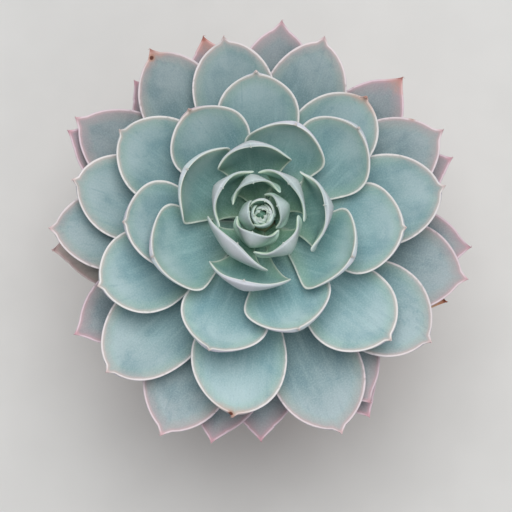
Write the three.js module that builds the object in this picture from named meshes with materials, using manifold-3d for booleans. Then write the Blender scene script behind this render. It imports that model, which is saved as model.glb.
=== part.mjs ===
// Potted rosette echeveria: a clay pot, gritty soil, a short stem and fifty-four fleshy leaves round a bud.
// Millimetres, +Z up. The origin is the middle of the pot's foot, on the surface that it stands on.
import * as THREE from 'three';
import { mergeVertices } from 'three/addons/utils/BufferGeometryUtils.js';
import Module from 'manifold-3d';

// Driving dimensions of the pot and what stands in it
const POT_HEIGHT = 96;
const POT_RIM_RADIUS = 59;
const POT_FOOT_RADIUS = 39;
const POT_WALL = 5.5;
const RIM_BAND = 21;
const BAND_STEP = 4.5;          // how far the band stands out from the wall below it
const DRAIN_RADIUS = 6.5;
const SOIL_BELOW_RIM = 9;
const SOIL_MOUND = 2.2;
const STEM_IN_SOIL = 42;
const FIT = 0.3;                // clearance between pieces that touch
const POT_SIDES = 48;
const SOIL_SIDES = 40;
const STEM_SIDES = 24;
const STEM_STEPS = 8;

// Heights and radii that follow from them
const BAND_FOOT = POT_HEIGHT - RIM_BAND;
const WALL_AT_BAND = POT_RIM_RADIUS - BAND_STEP;
const RIM_INSIDE = POT_RIM_RADIUS - 6.5;
const POT_FLOOR = POT_WALL + 1.5;

// Driving dimensions of the plant
const ROSETTE_SEAT = 106;       // height of the lowest leaf's seat above the surface
const LEAFY_STEM = 44;          // the stretch of stem that carries the leaves
const STEM_RADIUS = 8;
const STEM_TOP_RADIUS = 3.2;
const STEM_TAPER = 1.6;
const LEAFY_SHARE = 0.94;       // share of that stretch below the highest leaf's seat
const MARGIN = 0.8;             // thickness of a leaf at its edge

// The leaves from the heart outwards: azimuth in degrees, reach of the tip from the stem's axis, breadth,
// and, for a leaf that is flatter or more cupped than its neighbours, by how much
const LEAVES = [
  [187, 4.4, 14], [20, 6.2, 20], [253, 8.3, 25.5], [106, 11.8, 26, 1.2],
  [311, 14.5, 28, 1.15], [44, 15.5, 31], [150, 18, 31.5, 1.2], [229, 15, 34, 0.42],
  [99, 27, 33], [9, 25, 38], [259, 27, 36, 0.8], [150, 35, 39],
  [73, 40, 35], [337, 40, 38], [201, 47, 38], [44, 55, 36],
  [291, 48, 38], [123, 55, 35], [183, 57, 37], [250, 58, 38],
  [358, 60, 38], [93.5, 64, 36], [148, 71, 36], [203, 73, 37],
  [53, 70, 37], [318, 73, 38], [262, 82, 40], [14, 79, 39],
  [169, 82, 37], [102, 83, 36], [225, 90, 40], [326, 87, 40],
  [182, 90, 34], [73, 87, 36], [124, 91, 35], [292, 94, 40],
  [30, 89, 36], [245, 98, 38], [347, 91, 38], [150, 94, 35],
  [85, 92.5, 35], [304, 88, 33], [211, 92, 33], [357, 91, 33],
  [154, 95, 32], [48, 92, 33], [107, 90, 31], [258, 94, 33],
  [301, 93, 31], [23, 90, 32], [340, 86, 32], [131, 88, 31],
  [272, 91, 33], [187, 92, 35],
];

const HEART_LEAVES = 13;        // deeply cupped, round the bud
const OUTER_FROM = 36;          // from here on the leaves are the oldest and pinkest

// The smallest leaves, which close the bud: azimuth, reach, breadth, height of the tip
const BUD_LEAVES = [
  [250, 1.2, 6, 53], [20, 2, 8, 54], [190, 2.6, 9, 55], [310, 3.8, 12, 56], [70, 4.4, 14, 57],
];

// How the leaves change from the heart outwards: [leaf, value] at a few leaves, straight in between.
// Heights and lengths are in millimetres, and a bend is in degrees from seat to tip
const TIP_HEIGHT = [
  [0, 60], [4, 57], [9, 54], [13, 46], [17, 41], [22, 35], [27, 29], [32, 23], [40, 14], [53, 2],
];
const BEND = [
  [0, 86], [1, 114], [3, 130], [8, 134], [10, 132], [12, 96], [14, 76], [17, 58], [27, 44], [40, 36], [53, 30],
];
const BEND_POWER = [[0, 1.3], [4, 1.5], [8, 1.7], [12, 2], [53, 1.9]];
const OWN_CUP = [[0, 0.08], [3, 0.035], [5, 0.022], [9, 0.022], [16, 0.02], [30, 0.014], [53, 0.010]];
const THICKNESS = [[0, 1.4], [4, 2.0], [8, 2.5], [12, 2.8], [20, 3.0], [53, 2.7]];
const FOLD = [[0, 0.25], [9, 0.25], [16, 0.7], [53, 1]];
const TIP_LENGTH = [[0, 1.6], [16, 2.2], [34, 3.4], [53, 4.0]];
const END_FULLNESS = [[0, 0.62], [28, 0.58], [40, 0.7], [53, 0.8]];

// Shares along a leaf, from its seat to where the small point at its end begins
const LEAF_ROWS = [0, 0.12, 0.26, 0.4, 0.53, 0.65, 0.76, 0.86, 0.94, 0.985];
const SEAT_SHARE = 0.2;         // breadth at the seat, as a share of the widest
const WIDEST_AT = 0.66;
const SHOULDER = 1.8;           // how late the blade broadens
const END_ROUNDNESS = 2.2;
const POINT_HALF_WIDTH = 0.45;
const SEAT_CLEARANCE = 0.25;    // share of a leaf's thickness by which its seat stands off the stem
const SEAT_FULLNESS = 0.55;     // share of the full thickness at the seat
const FILLING = 1.2;            // how soon the full thickness is reached
const TIP_THINNING = 0.35;
const HUG = 0.5;                // how closely an upright leaf bends round the stem's axis
const CLOSEST_HUG = 2.5;
const CUP_AT_SEAT = 0.25;
const KEELED_FROM = 0.6;        // share of a leaf's length from where its keel is at its sharpest
const MAX_TURN = 1.2;
const MIDRIB_STEPS = 60;
const SECTION_STEPS = 16;
const HEART_ACROSS = 6;         // faces across a leaf
const LEAF_ACROSS = 4;

// The core that the smallest leaves are grown round: radius, height above its foot
const BUD_CORE = [[0, 0], [3.2, 0], [3.3, 1.2], [2.6, 4], [1.4, 8.5], [0, 9.5]];
const BUD_CORE_SIDES = 12;
const BUD_SEAT = [0.8, 1.8];
const BUD_LEAF = {
  thickness: 1.3, bend: 70, power: 1, cup: 0.1, cupping: 1, fold: 0.8, point: 1, fullness: 0.62,
};

const radians = THREE.MathUtils.degToRad;

function between(points, n) {
  let last = points[0];
  for (const point of points) {
    if (n <= point[0]) {
      const share = point[0] === last[0] ? 0 : (n - last[0]) / (point[0] - last[0]);
      return last[1] + share * (point[1] - last[1]);
    }
    last = point;
  }
  return last[1];
}

// Stem radius at a height above the lowest leaf's seat
function stemRadius(height) {
  const share = THREE.MathUtils.clamp(height / LEAFY_STEM, 0, 1);
  return STEM_RADIUS + (STEM_TOP_RADIUS - STEM_RADIUS) * share ** STEM_TAPER;
}

// The upper face's middle line: an arc that steepens towards the tip, turned and scaled to join seat and tip
function midrib(seat, tip, bend, power) {
  const line = [[0, 0, 0]];
  let [x, z] = [0, 0];
  for (let i = 0; i < MIDRIB_STEPS; i += 1) {
    const angle = bend * ((i + 0.5) / MIDRIB_STEPS) ** power;
    x += Math.cos(angle) / MIDRIB_STEPS;
    z += Math.sin(angle) / MIDRIB_STEPS;
    line.push([x, z, 0]);
  }
  const turn = Math.atan2(tip[1] - seat[1], tip[0] - seat[0]) - Math.atan2(z, x);
  const length = Math.hypot(tip[0] - seat[0], tip[1] - seat[1]) / Math.hypot(x, z);
  return (u) => {
    const place = u * MIDRIB_STEPS;
    const i = Math.min(Math.floor(place), MIDRIB_STEPS - 1);
    const t = place - i;
    const px = line[i][0] + t * (line[i + 1][0] - line[i][0]);
    const pz = line[i][1] + t * (line[i + 1][1] - line[i][1]);
    return {
      r: seat[0] + length * (px * Math.cos(turn) - pz * Math.sin(turn)),
      z: seat[1] + length * (px * Math.sin(turn) + pz * Math.cos(turn)),
      slope: turn + bend * u ** power,
      length,
    };
  };
}

// Half breadth at a share of the blade, as a share of the widest: a narrow seat, a broad end
function outline(share, fullness) {
  if (share < WIDEST_AT) {
    return SEAT_SHARE + (1 - SEAT_SHARE) * Math.sin((Math.PI / 2) * (share / WIDEST_AT) ** SHOULDER);
  }
  const t = (share - WIDEST_AT) / (1 - WIDEST_AT);
  return (1 - t ** END_ROUNDNESS) ** fullness;
}

// Points across a leaf from edge to edge: offset to the side, rise above the midrib and lean of the
// surface. A fold of 1 bends the section evenly, and less gathers the bend at the midrib, as a keel does
function crossSection(half, turning, fold, across) {
  const points = [];
  for (let j = 0; j <= across; j += 1) {
    const v = (2 * j) / across - 1;
    const step = (half * Math.abs(v)) / SECTION_STEPS;
    let [side, rise] = [0, 0];
    for (let i = 0; i < SECTION_STEPS; i += 1) {
      const lean = turning * (Math.abs(v) * (i + 0.5) / SECTION_STEPS) ** fold;
      side += step * Math.cos(lean);
      rise += step * Math.sin(lean);
    }
    points.push({ v, side: Math.sign(v) * side, rise, lean: Math.sign(v) * turning * Math.abs(v) ** fold });
  }
  return points;
}

// One leaf as a closed body: rows of points across its upper and lower faces, closed at seat and tip
function leafGeometry(leaf, across) {
  const line = midrib(leaf.seat, leaf.tip, radians(leaf.bend), leaf.power);
  const { length } = line(1);
  const blade = 1 - leaf.point / length;
  const turn = new THREE.Matrix4().makeRotationZ(radians(leaf.azimuth));
  const vertices = [];
  const add = (r, side, z) => {
    vertices.push(new THREE.Vector3(r, side, z).applyMatrix4(turn));
    return vertices.length - 1;
  };
  const upper = [];
  const lower = [];
  for (const share of LEAF_ROWS) {
    const { r, z, slope } = line(share * blade);
    const half = Math.max((leaf.breadth / 2) * outline(share, leaf.fullness), POINT_HALF_WIDTH);
    const hug = HUG * Math.max(Math.sin(slope), 0) / Math.max(r, CLOSEST_HUG);
    const curve = hug + leaf.cup * (CUP_AT_SEAT + (1 - CUP_AT_SEAT) * share);
    const turning = Math.min(half * curve * leaf.cupping, MAX_TURN);
    const fullness = Math.min(SEAT_FULLNESS + FILLING * share, 1) - TIP_THINNING * share ** 3;
    const thick = MARGIN + (leaf.thickness - MARGIN) * fullness;
    const fold = 1 - (1 - leaf.fold) * Math.min(share / KEELED_FROM, 1);
    const [outwards, upwards] = [-Math.sin(slope), Math.cos(slope)];
    const top = [];
    const bottom = [];
    for (const { v, side, rise, lean } of crossSection(half, turning, fold, across)) {
      const depth = MARGIN + (thick - MARGIN) * Math.sqrt(1 - v * v);
      const under = rise - depth * Math.cos(lean);
      top.push(add(r + rise * outwards, side, z + rise * upwards));
      bottom.push(add(r + under * outwards, side + depth * Math.sin(lean), z + under * upwards));
    }
    upper.push(top);
    lower.push(bottom);
  }
  const end = line(1);
  const apex = add(end.r, 0, end.z);
  return closedLeaf(vertices, upper, lower, apex, across);
}

function closedLeaf(vertices, upper, lower, apex, across) {
  const faces = [];
  const quad = (a, b, c, d, mirrored) => {
    if (mirrored) faces.push([a, b, d], [b, c, d]);
    else faces.push([a, b, c], [a, c, d]);
  };
  const last = upper.length - 1;
  for (let i = 0; i < last; i += 1) {
    for (let j = 0; j < across; j += 1) {
      const mirrored = j >= across / 2;
      quad(upper[i][j], upper[i + 1][j], upper[i + 1][j + 1], upper[i][j + 1], !mirrored);
      quad(lower[i][j + 1], lower[i + 1][j + 1], lower[i + 1][j], lower[i][j], mirrored);
    }
    quad(lower[i][0], lower[i + 1][0], upper[i + 1][0], upper[i][0], false);
    quad(upper[i][across], upper[i + 1][across], lower[i + 1][across], lower[i][across], false);
  }
  for (let j = 0; j < across; j += 1) {
    quad(upper[0][j], upper[0][j + 1], lower[0][j + 1], lower[0][j], false);
    faces.push([upper[last][j], apex, upper[last][j + 1]]);
    faces.push([lower[last][j + 1], apex, lower[last][j]]);
  }
  faces.push([lower[last][0], apex, upper[last][0]]);
  faces.push([upper[last][across], apex, lower[last][across]]);
  return fromFaces(vertices, faces);
}

function fromFaces(vertices, faces) {
  const geometry = new THREE.BufferGeometry();
  const positions = vertices.flatMap((vertex) => vertex.toArray());
  geometry.setAttribute('position', new THREE.Float32BufferAttribute(positions, 3));
  geometry.setIndex(faces.flat());
  return geometry;
}

// A leaf's measures from its place in the row from the heart outwards
function leafAt(n, [azimuth, reach, breadth, cupping = 1]) {
  const height = LEAFY_STEM * (1 - n / (LEAVES.length - 1)) * LEAFY_SHARE;
  const thickness = between(THICKNESS, n);
  return {
    azimuth,
    breadth,
    thickness,
    seat: [stemRadius(height) + FIT + SEAT_CLEARANCE * thickness, height],
    tip: [reach, between(TIP_HEIGHT, n)],
    bend: between(BEND, n),
    power: between(BEND_POWER, n),
    cup: between(OWN_CUP, n),
    cupping,
    fold: between(FOLD, n),
    point: between(TIP_LENGTH, n),
    fullness: between(END_FULLNESS, n),
  };
}

// Turned pieces: an outline of radius and height, once round the axis
function turned(outlinePoints, sides) {
  const profile = outlinePoints.map(([r, z]) => new THREE.Vector2(r, z));
  const geometry = new THREE.LatheGeometry(profile, sides);
  geometry.rotateX(Math.PI / 2);
  geometry.deleteAttribute('normal');
  geometry.deleteAttribute('uv');
  return mergeVertices(geometry, 1e-3);
}

const wasm = await Module();
wasm.setup();

function solidOf(geometry) {
  return new wasm.Manifold(new wasm.Mesh({
    numProp: 3,
    vertProperties: new Float32Array(geometry.attributes.position.array),
    triVerts: new Uint32Array(geometry.index.array),
  }));
}

// The largest shell of a join, so that hollows sealed inside it are filled
function outerShell(solid) {
  return solid.decompose().reduce((best, piece) => (piece.volume() > best.volume() ? piece : best));
}

function geometryOf(solid) {
  const mesh = solid.getMesh();
  const geometry = new THREE.BufferGeometry();
  geometry.setAttribute('position', new THREE.BufferAttribute(new Float32Array(mesh.vertProperties), 3));
  geometry.setIndex(new THREE.BufferAttribute(new Uint32Array(mesh.triVerts), 1));
  return geometry;
}

// Materials
const clay = new THREE.MeshStandardMaterial({ color: 0xb5714c, roughness: 0.9, metalness: 0 });
const grit = new THREE.MeshStandardMaterial({ color: 0x4a3b30, roughness: 1, metalness: 0 });
const bark = new THREE.MeshStandardMaterial({ color: 0x9a8f74, roughness: 0.85, metalness: 0 });
const heartSkin = new THREE.MeshStandardMaterial({ color: 0x709e96, roughness: 0.62, metalness: 0 });
const middleSkin = new THREE.MeshStandardMaterial({ color: 0x80aaa8, roughness: 0.62, metalness: 0 });
const outerSkin = new THREE.MeshStandardMaterial({ color: 0x9eb2b8, roughness: 0.62, metalness: 0 });
const budSkin = new THREE.MeshStandardMaterial({ color: 0x9cbcae, roughness: 0.62, metalness: 0 });

const object = new THREE.Group();

function place(name, geometry, material, parent = object) {
  const mesh = new THREE.Mesh(geometry, material);
  mesh.name = name;
  parent.add(mesh);
}

// The pot: a tapered wall with a thicker band at the rim, a flat foot and a drain hole
function potGeometry() {
  return turned([
    [DRAIN_RADIUS, 0],
    [POT_FOOT_RADIUS - 1.5, 0],
    [POT_FOOT_RADIUS, 1.5],
    [WALL_AT_BAND, BAND_FOOT],
    [POT_RIM_RADIUS - 1, BAND_FOOT + 0.5],
    [POT_RIM_RADIUS - 0.6, BAND_FOOT + 2.5],
    [POT_RIM_RADIUS, POT_HEIGHT - 2],
    [POT_RIM_RADIUS - 2, POT_HEIGHT],
    [RIM_INSIDE + 1.5, POT_HEIGHT],
    [RIM_INSIDE, POT_HEIGHT - 2],
    [WALL_AT_BAND - POT_WALL, BAND_FOOT - 3],
    [POT_FOOT_RADIUS - POT_WALL, POT_FLOOR + 2],
    [POT_FOOT_RADIUS - POT_WALL - 2, POT_FLOOR],
    [DRAIN_RADIUS, POT_FLOOR],
    [DRAIN_RADIUS, 0],
  ], POT_SIDES);
}

// Soil that fills the pot up to just below its rim, with a plain hole for the stem
function soilGeometry() {
  const top = POT_HEIGHT - SOIL_BELOW_RIM;
  const floor = POT_FLOOR + FIT;
  const foot = POT_FOOT_RADIUS - POT_WALL - FIT;
  const shoulder = WALL_AT_BAND - POT_WALL - FIT;
  const edge = shoulder + 0.55 * (RIM_INSIDE - FIT - shoulder);
  const hole = STEM_RADIUS + FIT;
  return turned([
    [0, floor],
    [foot - 2.2, floor],
    [foot - 0.1, floor + 2.1],
    [shoulder, BAND_FOOT - 3],
    [edge, top - 1],
    [edge - 5, top - 0.2],
    [30, top + SOIL_MOUND - 0.6],
    [18, top + SOIL_MOUND],
    [hole, top + SOIL_MOUND - 0.8],
    [hole, top - STEM_IN_SOIL],
    [0, top - STEM_IN_SOIL],
  ], SOIL_SIDES);
}

// The stem, from its foot in the soil to the seat of the bud
function stemGeometry() {
  const foot = POT_HEIGHT - SOIL_BELOW_RIM - STEM_IN_SOIL + FIT - ROSETTE_SEAT;
  const outlinePoints = [[0, foot], [STEM_RADIUS - 1.5, foot], [STEM_RADIUS, foot + 2], [STEM_RADIUS, 0]];
  for (let i = 1; i <= STEM_STEPS; i += 1) {
    const height = (LEAFY_STEM * i) / STEM_STEPS;
    outlinePoints.push([stemRadius(height), height]);
  }
  outlinePoints.push([0, LEAFY_STEM]);
  return turned(outlinePoints, STEM_SIDES);
}

// The bud: its smallest leaves wrapped round a small core, grown together
function budGeometry() {
  const foot = LEAFY_STEM + FIT;
  let bud = solidOf(turned(BUD_CORE.map(([r, z]) => [r, foot + z]), BUD_CORE_SIDES));
  for (const [azimuth, reach, breadth, height] of BUD_LEAVES) {
    const seat = [BUD_SEAT[0] + reach / 4, foot + BUD_SEAT[1]];
    const small = leafGeometry({ ...BUD_LEAF, azimuth, breadth, seat, tip: [reach, height] }, HEART_ACROSS);
    bud = bud.add(solidOf(small));
  }
  return geometryOf(outerShell(bud));
}

place('pot', potGeometry(), clay);
place('soil', soilGeometry(), grit);

const plant = new THREE.Group();
plant.position.z = ROSETTE_SEAT;
object.add(plant);
place('stem', stemGeometry(), bark, plant);
place('bud', budGeometry(), budSkin, plant);
LEAVES.forEach((row, n) => {
  const skin = n < HEART_LEAVES ? heartSkin : n < OUTER_FROM ? middleSkin : outerSkin;
  const across = n < HEART_LEAVES ? HEART_ACROSS : LEAF_ACROSS;
  place(`leaf_${String(n + 1).padStart(2, '0')}`, leafGeometry(leafAt(n, row), across), skin, plant);
});

export default object;
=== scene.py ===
"""Looks of a potted echeveria: fine leaves with pale margins and small points, a bud, a scarred stem,
gritty soil and a turned clay pot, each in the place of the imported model's piece. Leaves and turned pieces
are worked out in millimetres and made in metres, +Z up."""

import math
import random

import bmesh
import bpy
import numpy as np
from mathutils import Matrix, Vector, noise


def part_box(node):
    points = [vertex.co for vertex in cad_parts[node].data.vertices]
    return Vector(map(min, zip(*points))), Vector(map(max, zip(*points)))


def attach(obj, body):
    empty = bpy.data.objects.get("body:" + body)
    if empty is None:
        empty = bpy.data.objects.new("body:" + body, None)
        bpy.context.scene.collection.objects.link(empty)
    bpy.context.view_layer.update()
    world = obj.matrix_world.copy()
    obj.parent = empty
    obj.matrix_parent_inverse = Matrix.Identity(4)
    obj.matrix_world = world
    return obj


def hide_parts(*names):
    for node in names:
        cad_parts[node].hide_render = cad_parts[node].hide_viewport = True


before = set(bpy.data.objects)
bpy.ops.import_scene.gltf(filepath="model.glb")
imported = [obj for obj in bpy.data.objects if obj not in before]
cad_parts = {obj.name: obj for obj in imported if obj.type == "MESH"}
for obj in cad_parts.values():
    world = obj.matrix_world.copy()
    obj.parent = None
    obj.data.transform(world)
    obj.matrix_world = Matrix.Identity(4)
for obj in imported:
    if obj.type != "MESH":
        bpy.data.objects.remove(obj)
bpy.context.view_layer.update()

MM = 0.001
rng = random.Random(11)

# The plant's driving dimensions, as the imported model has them
LEAFY_STEM = 44
STEM_RADIUS = 8
STEM_TOP_RADIUS = 3.2
STEM_TAPER = 1.6
LEAFY_SHARE = 0.94
FIT = 0.3
STEM_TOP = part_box("stem")[1].z / MM
ROSETTE_SEAT = STEM_TOP - LEAFY_STEM

# The leaves from the heart outwards: azimuth in degrees, reach of the tip from the stem's axis, breadth,
# and, for a leaf that is flatter or more cupped than its neighbours, by how much
LEAVES = [
    (187, 4.4, 14), (20, 6.2, 20), (253, 8.3, 25.5), (106, 11.8, 26, 1.2),
    (311, 14.5, 28, 1.15), (44, 15.5, 31), (150, 18, 31.5, 1.2), (229, 15, 34, 0.42),
    (99, 27, 33), (9, 25, 38), (259, 27, 36, 0.8), (150, 35, 39),
    (73, 40, 35), (337, 40, 38), (201, 47, 38), (44, 55, 36),
    (291, 48, 38), (123, 55, 35), (183, 57, 37), (250, 58, 38),
    (358, 60, 38), (93.5, 64, 36), (148, 71, 36), (203, 73, 37),
    (53, 70, 37), (318, 73, 38), (262, 82, 40), (14, 79, 39),
    (169, 82, 37), (102, 83, 36), (225, 90, 40), (326, 87, 40),
    (182, 90, 34), (73, 87, 36), (124, 91, 35), (292, 94, 40),
    (30, 89, 36), (245, 98, 38), (347, 91, 38), (150, 94, 35),
    (85, 92.5, 35), (304, 88, 33), (211, 92, 33), (357, 91, 33),
    (154, 95, 32), (48, 92, 33), (107, 90, 31), (258, 94, 33),
    (301, 93, 31), (23, 90, 32), (340, 86, 32), (131, 88, 31),
    (272, 91, 33), (187, 92, 35),
]

# What a single leaf, by its number, has of its own: a corky spot (distance from the tip and off the middle,
# radius), how far its point curls in, how far its end is burnt orange, how far it has dried up, how much its
# edges wave
MARKS = {
    10: {"curl": 1.9}, 16: {"curl": 1.3}, 18: {"curl": 1.7, "burn": 0.3}, 22: {"curl": 2.2},
    25: {"curl": 2.4, "burn": 0.5}, 27: {"burn": 0.35, "spot": (2.2, -1.0, 1.1)},
    35: {"burn": 0.5, "spot": (4.2, 1.4, 1.0)}, 37: {"spot": (9.0, 11.5, 1.2)}, 46: {"burn": 0.5},
    47: {"burn": 0.6}, 51: {"dry": 1.0, "burn": 1.0, "wave": 1.1},
    54: {"dry": 0.35, "wave": 0.6, "curl": 1.1},
}
PLAIN_CURL = 0.5
HEART_LEAVES = 13
OUTER_FROM = 36
OLDEST = len(LEAVES) - 1

# The smallest leaves, which close the bud: azimuth, reach, breadth, height of the tip. The innermost ones are
# in the fine bud alone, inside the solid's core
BUD_LEAVES = [
    (250, 1.2, 6, 53), (20, 2, 8, 54), (190, 2.6, 9, 55), (310, 3.8, 12, 56), (70, 4.4, 14, 57),
]
INNERMOST_LEAVES = [
    (130, 0.9, 4.5, 52), (330, 1.0, 5, 52.6), (75, 1.5, 6, 53.4), (230, 2.0, 7, 54.2), (5, 2.8, 9, 55),
]
BUD_SEAT = (0.8, 1.8)           # radius and height of their seats
BUD_CORE_SIDES = 32
BUD_CORE = [(0, 0), (3.1, 0), (3.2, 1.2), (2.5, 4), (1.6, 6.8), (0.4, 7.6), (0, 7.7)]

# Painted light: the leaves on one side of the rosette, towards the azimuth below, are coloured lighter and
# those on the far side darker, by the share below
PAINTED_LIGHT_AZIMUTH = 290
PAINTED_SIDE_LIGHT = 0.16

# How the leaves change from the heart outwards: leaf, value. The heart's tips are 0.4 mm lower than the
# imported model's, because the fine ones have rounded margins
TIP_HEIGHT = [
    (0, 59.6), (4, 57), (9, 54), (13, 46), (17, 41), (22, 35), (27, 29), (32, 23), (40, 14), (53, 2),
]
BEND = [
    (0, 86), (1, 114), (3, 130), (8, 134), (10, 132), (12, 96), (14, 76), (17, 58), (27, 44), (40, 36),
    (53, 30),
]
BEND_POWER = [(0, 1.3), (4, 1.5), (8, 1.7), (12, 2), (53, 1.9)]
OWN_CUP = [(0, 0.08), (3, 0.035), (5, 0.022), (9, 0.022), (16, 0.02), (30, 0.014), (53, 0.010)]
THICKNESS = [(0, 1.4), (4, 2.0), (8, 2.5), (12, 2.8), (20, 3.0), (53, 2.7)]
FOLD = [(0, 0.25), (9, 0.25), (16, 0.7), (53, 1)]
POINT_LENGTH = [(0, 1.6), (16, 2.2), (34, 3.4), (53, 4.0)]
POINT_SHARE = [(0, 0.28), (9, 0.34), (13, 0.6), (22, 0.95), (53, 1)]
END_FULLNESS = [(0, 0.62), (28, 0.58), (40, 0.7), (53, 0.8)]

# How a leaf's blade is shaped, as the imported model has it
SEAT_SHARE = 0.2
WIDEST_AT = 0.66
SHOULDER = 1.8
END_ROUNDNESS = 2.2
SEAT_CLEARANCE = 0.25
SEAT_FULLNESS = 0.55
FILLING = 1.2
TIP_THINNING = 0.35
HUG = 0.5
CLOSEST_HUG = 2.5
CUP_AT_SEAT = 0.25
KEELED_FROM = 0.6
MAX_TURN = 1.2

# What the fine leaves add: a thin rounded margin, a drawn-out point, waves in the edge
RIM = 0.55                      # thickness of the margin
RIM_AT_TIP = 0.25               # what is left of it at the very tip
THIN_END = 1.4                  # how far back from the tip the blade thins, in lengths of the point
THIN_END_POWER = 0.8
POINT_ROOT = 0.66               # half breadth of the point at its root, as a share of its length
POINT_FLARE = 1.4               # how hollow the sides of the point are
POINT_REACH = 1.7               # how far back from the tip the point's outline runs, in its lengths
POINT_BLEND = 0.25              # how softly the blade's outline turns into the point's, in its lengths
CURL_REACH = 1.3                # how far back from the tip the point curls, in its lengths
EDGE_WAVE = 0.32                # how far the edges of the oldest leaves rise and fall
WAVE_LENGTH = 27
UNEVENNESS = 0.055              # how far each side's breadth departs from the mean
SIDE_WAVE = 5.5                 # turns, in radians, of that departure along the leaf
SWAY = 0.045                    # how far a leaf's end stands off to one side, as a share of its breadth
RELIEF = 0.10                   # low swellings in a leaf's surface
ROWS_ALONG = 40                 # rows of faces up to where the end of the blade begins, and in the end
ROWS_AT_END = 44
END_FROM = 0.80
END_CROWDING = 1.25             # how much closer together the rows are towards the tip
FACES_ACROSS = 30
RIM_STEPS = 4
LINE_STEPS = 400
ACROSS = np.sin(np.linspace(-math.pi / 2, math.pi / 2, FACES_ACROSS + 1))   # closer together at the edges
HALF_WAY_OUT = np.linspace(0, 1, 65)


def curve_of(points, n):
    """The value at n of a curve given as (place, value) points, straight in between."""
    places, values = zip(*points)
    return float(np.interp(n, places, values))


def smooth_step(value, low, high):
    """0 at low and before it, 1 at high and past it, smooth in between."""
    share = np.clip((value - low) / (high - low), 0, 1)
    return share * share * (3 - 2 * share)


def stem_radius(height):
    """The stem's radius at a height above the lowest leaf's seat."""
    share = min(max(height / LEAFY_STEM, 0), 1)
    return STEM_RADIUS + (STEM_TOP_RADIUS - STEM_RADIUS) * share ** STEM_TAPER


def mesh_object(name, vertices, faces, attributes=None):
    """A smooth-shaded object from points in millimetres, with an attribute for each point."""
    mesh = bpy.data.meshes.new(name)
    mesh.from_pydata((np.asarray(vertices) * MM).tolist(), [], faces)
    for key, values in (attributes or {}).items():
        values = np.asarray(values, np.float32)
        kind, field = ("FLOAT", "value") if values.ndim == 1 else ("FLOAT_VECTOR", "vector")
        layer = mesh.attributes.new(key, kind, "POINT")
        layer.data.foreach_set(field, values.ravel())
    mesh.shade_smooth()
    piece = bpy.data.objects.new(name, mesh)
    bpy.context.scene.collection.objects.link(piece)
    return piece


def facing_out(vertices, faces):
    """The faces, turned about if they enclose less than nothing."""
    corners = np.array([(face[0], face[j], face[j + 1]) for face in faces for j in range(1, len(face) - 1)])
    a, b, c = (np.asarray(vertices)[corners[:, k]] for k in range(3))
    volume = np.einsum("ij,ij->i", a, np.cross(b, c)).sum()
    return faces if volume > 0 else [face[::-1] for face in faces]


# Leaves
def leaf_measures(n):
    """A leaf's measures from its place in the row from the heart outwards."""
    azimuth, reach, breadth, cupping = (*LEAVES[n], 1)[:4]
    own = MARKS.get(n + 1, {})
    height = LEAFY_STEM * (1 - n / OLDEST) * LEAFY_SHARE
    thickness = curve_of(THICKNESS, n)
    return {
        "azimuth": azimuth,
        "breadth": breadth,
        "thickness": thickness,
        "seat": (stem_radius(height) + FIT + SEAT_CLEARANCE * thickness, height),
        "tip": (reach, curve_of(TIP_HEIGHT, n)),
        "bend": curve_of(BEND, n),
        "power": curve_of(BEND_POWER, n),
        "cup": curve_of(OWN_CUP, n),
        "cupping": cupping,
        "fold": curve_of(FOLD, n),
        "point": curve_of(POINT_LENGTH, n) * curve_of(POINT_SHARE, n),
        "fullness": curve_of(END_FULLNESS, n),
        "age": n / OLDEST,
        "wave": own.get("wave", EDGE_WAVE * float(smooth_step(n, 8, 30))),
        "curl": own.get("curl", PLAIN_CURL),
        "spot": own.get("spot", (0, 0, 0)),
        "burn": own.get("burn", 0),
        "dry": own.get("dry", 0),
    }


def bud_measures(azimuth, reach, breadth, height):
    """The measures of one of the smallest leaves, which have no free stretch of stem between them."""
    return {
        "azimuth": azimuth, "breadth": breadth, "thickness": 1.3,
        "seat": (BUD_SEAT[0] + reach / 4, LEAFY_STEM + FIT + BUD_SEAT[1]),
        "tip": (reach, height), "bend": 70, "power": 1, "cup": 0.1, "cupping": 1, "fold": 0.8,
        "point": 1, "fullness": 0.62, "age": 0, "wave": 0, "curl": 0.2, "spot": (0, 0, 0),
        "burn": 0, "dry": 0,
    }


def midrib(leaf):
    """Length, and radius, height and slope at even steps, of the upper face's middle line."""
    bend = math.radians(leaf["bend"])
    middles = (np.arange(LINE_STEPS) + 0.5) / LINE_STEPS
    angle = bend * middles ** leaf["power"]
    x, z = np.cos(angle).mean(), np.sin(angle).mean()
    across = leaf["tip"][0] - leaf["seat"][0]
    up = leaf["tip"][1] - leaf["seat"][1]
    length = math.hypot(across, up) / math.hypot(x, z)
    turn = math.atan2(up, across) - math.atan2(z, x)
    to_tip = (1 - middles) * length
    curl = leaf["curl"] * np.clip(1 - to_tip / (CURL_REACH * leaf["point"]), 0, 1) ** 2
    slope = turn + angle + curl
    radius = leaf["seat"][0] + np.concatenate(([0], np.cumsum(np.cos(slope)))) * length / LINE_STEPS
    height = leaf["seat"][1] + np.concatenate(([0], np.cumsum(np.sin(slope)))) * length / LINE_STEPS
    ends = np.linspace(0, 1, LINE_STEPS + 1)
    return length, lambda u: (
        np.interp(u, ends, radius), np.interp(u, ends, height), np.interp(u, middles, slope))


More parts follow.
